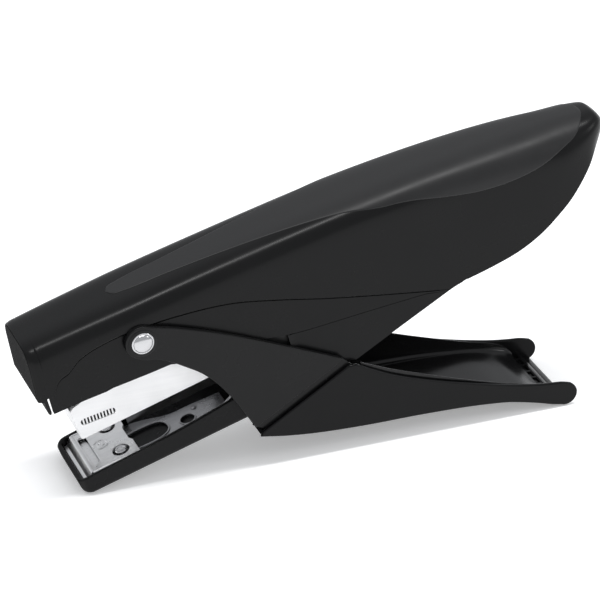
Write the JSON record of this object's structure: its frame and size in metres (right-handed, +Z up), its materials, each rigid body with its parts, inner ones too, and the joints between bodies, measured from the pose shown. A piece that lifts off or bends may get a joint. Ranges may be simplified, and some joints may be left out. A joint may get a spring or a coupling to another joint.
{
  "type": "plier stapler",
  "caption": "Hand-held plier stapler: a curved upper handle over a steel staple magazine, an anvil jaw, and a lower squeeze handle on a side rivet.",
  "frame": {"origin": "middle of the footprint at table height, with the stapler standing on the front edge of its jaw and the tail of its lower handle", "axes": "+X from the nose to the tail, +Z up, the XZ plane is the plane of symmetry"},
  "size_m": [0.1826, 0.0334, 0.0918],
  "materials": {
    "cover_black": "satin black moulded cover",
    "soft_inlay": "satin dark grey soft insert",
    "dark_steel": "black painted pressed steel",
    "grip_black": "glossy black moulded grip",
    "liner_black": "glossy black lining",
    "bright_steel": "bright plated sheet steel",
    "plain_steel": "satin plated sheet steel",
    "rivet_chrome": "polished rivet head",
    "spring_wire": "drawn spring wire",
    "staple_wire": "galvanised staple wire"
  },
  "bodies": {
    "upper_handle": {"cover_shell": "cover_black", "grip_inlay": "soft_inlay", "inner_frame": "dark_steel", "driver_blade": "plain_steel", "driver_block": "plain_steel", "block_screws": "plain_steel", "head_front_plate": "dark_steel", "pivot_rivet": "rivet_chrome", "pivot_spacers": "plain_steel", "rear_hinge_pin": "plain_steel", "cover_screws": "plain_steel"},
    "magazine": {"magazine_carrier": "plain_steel", "pusher_rod": "plain_steel", "pusher_spring": "spring_wire", "magazine_spring": "spring_wire"},
    "pusher": {"staple_pusher": "plain_steel"},
    "drawer": {"magazine_drawer": "bright_steel", "staple_rail": "plain_steel", "staple_strip": "staple_wire"},
    "jaw": {"jaw_shell": "dark_steel", "jaw_base_plate": "plain_steel", "base_rivets": "rivet_chrome", "jaw_arm_left": "plain_steel", "jaw_arm_right": "plain_steel", "anvil_plate": "bright_steel", "anvil_rivets": "rivet_chrome"},
    "lower_handle": {"cheek_left": "dark_steel", "cheek_right": "dark_steel", "lift_pin": "plain_steel", "handle_spacers": "plain_steel", "grip_shell": "grip_black", "grip_liner": "liner_black", "liner_screws": "plain_steel", "return_spring": "spring_wire"}
  },
  "joints": [
    {"name": "handle_squeeze", "type": "hinge", "parent": "upper_handle", "child": "lower_handle", "pos_m": [-0.0575, 0, 0.0483], "axis": [0, -1, 0], "range_deg": [0, 15], "stiffness_Nm_per_rad": 1.2, "springref_deg": -22.92, "deforming": ["return_spring"]},
    {"name": "jaw_lift", "type": "hinge", "parent": "upper_handle", "child": "jaw", "pos_m": [0.00715, 0, 0.04365], "axis": [0, 1, 0], "range_deg": [0, 11.2]},
    {"name": "magazine_tilt", "type": "hinge", "parent": "upper_handle", "child": "magazine", "pos_m": [0.00715, 0, 0.04365], "axis": [0, 1, 0], "range_deg": [0, 5.1], "deforming": ["magazine_spring"]},
    {"name": "drawer_slide", "type": "slide", "parent": "magazine", "child": "drawer", "axis": [-0.9511, 0, -0.309], "range_m": [0, 0.07]},
    {"name": "pusher_slide", "type": "slide", "parent": "magazine", "child": "pusher", "axis": [0.9511, 0, 0.309], "range_m": [0, 0.03], "stiffness_N_per_m": 60, "springref_m": -0.05, "deforming": ["pusher_spring"]}
  ],
  "couplings": [
    {"joint": "jaw_lift", "follows": "handle_squeeze", "ratio": 0.7466},
    {"joint": "magazine_tilt", "follows": "handle_squeeze", "ratio": 0.3399}
  ]
}
